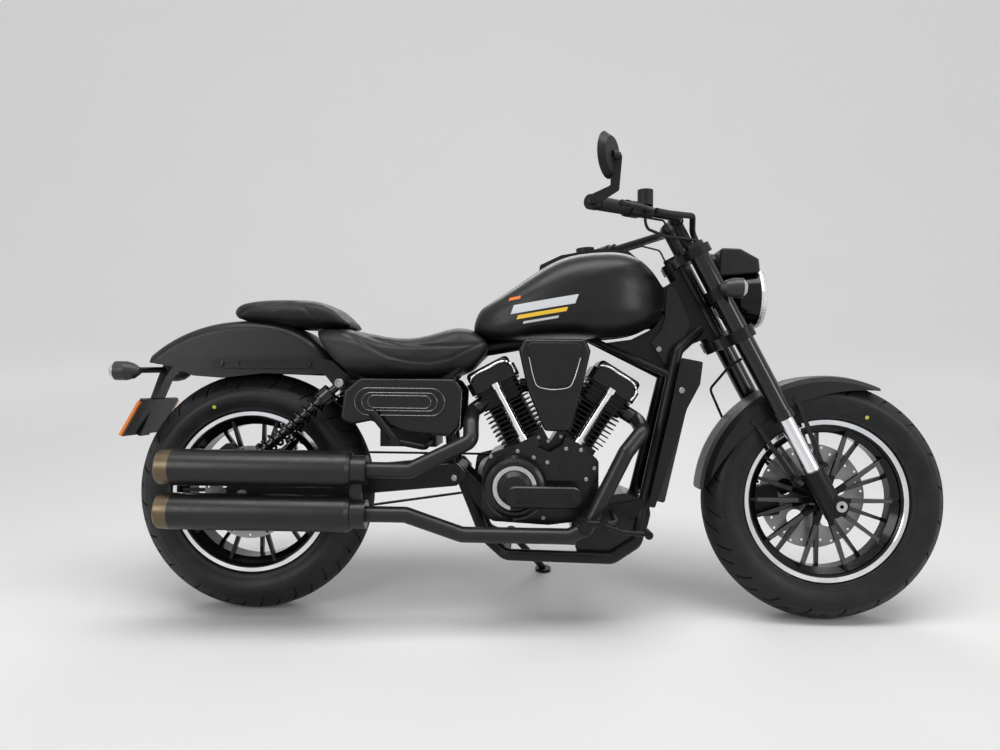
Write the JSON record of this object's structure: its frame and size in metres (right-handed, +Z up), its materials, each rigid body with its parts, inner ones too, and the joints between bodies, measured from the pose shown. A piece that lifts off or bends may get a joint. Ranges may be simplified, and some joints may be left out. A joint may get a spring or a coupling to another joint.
{
  "type": "cruiser motorcycle",
  "caption": "Low black cruiser motorcycle with an air-cooled-look V-twin, belt drive, upside-down fork, cast wheels and stacked side exhausts, leaning on its side stand.",
  "frame": {"origin": "middle of the bounding box, on the floor that the tyres and the side stand rest on", "axes": "+X forward, +Y to the rider's left, +Z up; the machine leans to its left onto its side stand"},
  "size_m": [2.206, 0.9366, 1.2264],
  "materials": {
    "rim_black": "satin",
    "tyre_front": "matte",
    "disc_steel": "brushed",
    "tyre_rear": "matte",
    "pulley_black": "satin",
    "bright_steel": "satin",
    "gloss_black": "gloss",
    "chrome": "polished",
    "satin_black": "satin",
    "body_black": "matte",
    "caliper_black": "satin",
    "lamp_trim": "polished",
    "clear_lens": "clear",
    "signal_lens": "gloss",
    "grip_rubber": "matte",
    "dark_plastic": "matte",
    "mirror_glass": "polished",
    "hose_rubber": "satin",
    "frame_black": "satin",
    "radiator_black": "matte",
    "shock_black": "gloss",
    "belt_rubber": "matte",
    "engine_black": "satin",
    "fin_metal": "satin",
    "exhaust_black": "satin",
    "tank_black": "matte",
    "seat_leather": "satin",
    "amber_lens": "gloss"
  },
  "bodies": {
    "chassis": {"frame": "frame_black", "seat_rails": "frame_black", "radiator": "radiator_black", "radiator_cover": "dark_plastic", "swingarm": "frame_black", "rear_axle": "bright_steel", "shocks": "shock_black", "rear_caliper": "caliper_black", "drive_belt": "belt_rubber", "front_pulley": "bright_steel", "crankcase": "engine_black", "cylinders": "fin_metal", "rocker_boxes": "engine_black", "pushrod_tubes": "chrome", "engine_covers": "engine_black", "air_cleaner": "engine_black", "exhaust_pipes": "exhaust_black", "mufflers": "exhaust_black", "fuel_tank": "tank_black", "tank_console": "dark_plastic", "rear_mudguard": "body_black", "rider_seat": "seat_leather", "pillion_seat": "seat_leather", "side_covers": "dark_plastic", "battery_box": "dark_plastic", "foot_pegs": "satin_black", "tail_bracket": "dark_plastic", "rear_signals": "signal_lens", "rear_lenses": "amber_lens"},
    "rear_wheel": {"rear_rim": "rim_black", "rear_tyre": "tyre_rear", "rear_disc": "disc_steel", "rear_pulley": "pulley_black"},
    "front_wheel": {"front_rim": "rim_black", "front_tyre": "tyre_front", "front_disc": "disc_steel"},
    "steering": {"front_axle": "bright_steel", "fork_tubes": "gloss_black", "fork_sliders": "chrome", "fork_lowers": "satin_black", "fork_clamps": "satin_black", "front_mudguard": "body_black", "front_caliper": "caliper_black", "headlamp_shell": "gloss_black", "headlamp_ring": "lamp_trim", "headlamp_lens": "clear_lens", "headlamp_cowl": "body_black", "front_signals": "signal_lens", "handlebar": "gloss_black", "grips": "grip_rubber", "bar_controls": "dark_plastic", "mirrors": "dark_plastic", "mirror_glass": "mirror_glass", "brake_hose": "hose_rubber", "bar_cables": "hose_rubber"},
    "side_stand": {"side_stand": "satin_black"}
  },
  "joints": [
    {"name": "rear_wheel_spin", "type": "hinge", "parent": "chassis", "child": "rear_wheel", "pos_m": [-0.757, -0.10997, 0.31996], "axis": [0, 0.9877, -0.1564], "continuous": true},
    {"name": "steering_turn", "type": "hinge", "parent": "chassis", "child": "steering", "pos_m": [0.44676, -0.03051, 0.82166], "axis": [-0.4695, 0.1381, 0.8721], "range_deg": [-35, 35]},
    {"name": "front_wheel_spin", "type": "hinge", "parent": "steering", "child": "front_wheel", "pos_m": [0.783, -0.11044, 0.317], "axis": [0, 0.9877, -0.1564], "continuous": true},
    {"name": "side_stand_fold", "type": "hinge", "parent": "chassis", "child": "side_stand", "pos_m": [-0.057, 0.0128, 0.16181], "axis": [0, 0.9511, 0.309], "range_deg": [0, 112]}
  ]
}
